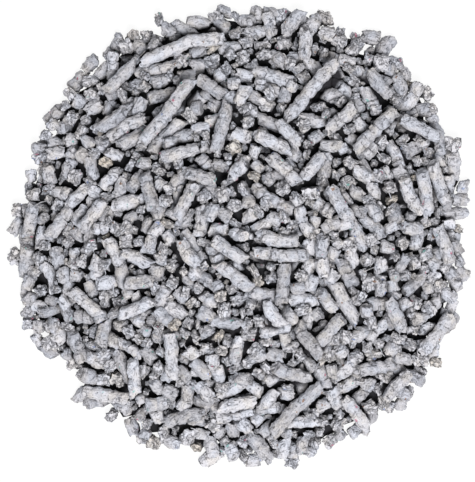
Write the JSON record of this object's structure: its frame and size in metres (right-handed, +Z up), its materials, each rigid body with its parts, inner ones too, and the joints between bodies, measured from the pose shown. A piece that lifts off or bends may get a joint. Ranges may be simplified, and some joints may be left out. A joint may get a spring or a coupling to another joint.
{
  "type": "heap of cat litter pellets",
  "caption": "Low round heap of grey pressed-paper cat litter pellets, poured out on a flat surface, with longer loose pellets lying on top.",
  "frame": {"origin": "on the floor, under the middle of the heap", "axes": "+Z up; +X to the right and +Y to the top of the picture, which looks straight down"},
  "size_m": [0.1803, 0.1806, 0.0392],
  "materials": {
    "packed_litter": "matt, fibrous, dusty",
    "pressed_paper": "matt, fibrous, with fine flecks"
  },
  "bodies": {
    "root": {"litter_bed": "packed_litter", "long_pellet_01": "pressed_paper", "long_pellet_02": "pressed_paper", "long_pellet_03": "pressed_paper", "long_pellet_04": "pressed_paper", "long_pellet_05": "pressed_paper", "long_pellet_06": "pressed_paper", "long_pellet_07": "pressed_paper", "long_pellet_08": "pressed_paper", "long_pellet_09": "pressed_paper", "long_pellet_10": "pressed_paper", "long_pellet_11": "pressed_paper", "long_pellet_12": "pressed_paper", "long_pellet_13": "pressed_paper", "long_pellet_14": "pressed_paper", "long_pellet_15": "pressed_paper", "long_pellet_16": "pressed_paper", "long_pellet_17": "pressed_paper", "long_pellet_18": "pressed_paper", "long_pellet_19": "pressed_paper", "long_pellet_20": "pressed_paper", "short_pellet_01": "pressed_paper", "short_pellet_02": "pressed_paper", "short_pellet_03": "pressed_paper", "short_pellet_04": "pressed_paper", "short_pellet_05": "pressed_paper", "short_pellet_06": "pressed_paper", "short_pellet_07": "pressed_paper", "short_pellet_08": "pressed_paper", "short_pellet_09": "pressed_paper", "short_pellet_10": "pressed_paper", "short_pellet_11": "pressed_paper", "short_pellet_12": "pressed_paper", "short_pellet_13": "pressed_paper", "short_pellet_14": "pressed_paper", "short_pellet_15": "pressed_paper", "short_pellet_16": "pressed_paper", "short_pellet_17": "pressed_paper", "short_pellet_18": "pressed_paper", "short_pellet_19": "pressed_paper", "short_pellet_20": "pressed_paper", "short_pellet_21": "pressed_paper", "short_pellet_22": "pressed_paper", "short_pellet_23": "pressed_paper", "short_pellet_24": "pressed_paper", "short_pellet_25": "pressed_paper", "short_pellet_26": "pressed_paper", "short_pellet_27": "pressed_paper", "short_pellet_28": "pressed_paper", "short_pellet_29": "pressed_paper", "short_pellet_30": "pressed_paper", "short_pellet_31": "pressed_paper", "short_pellet_32": "pressed_paper", "short_pellet_33": "pressed_paper"}
  },
  "joints": []
}
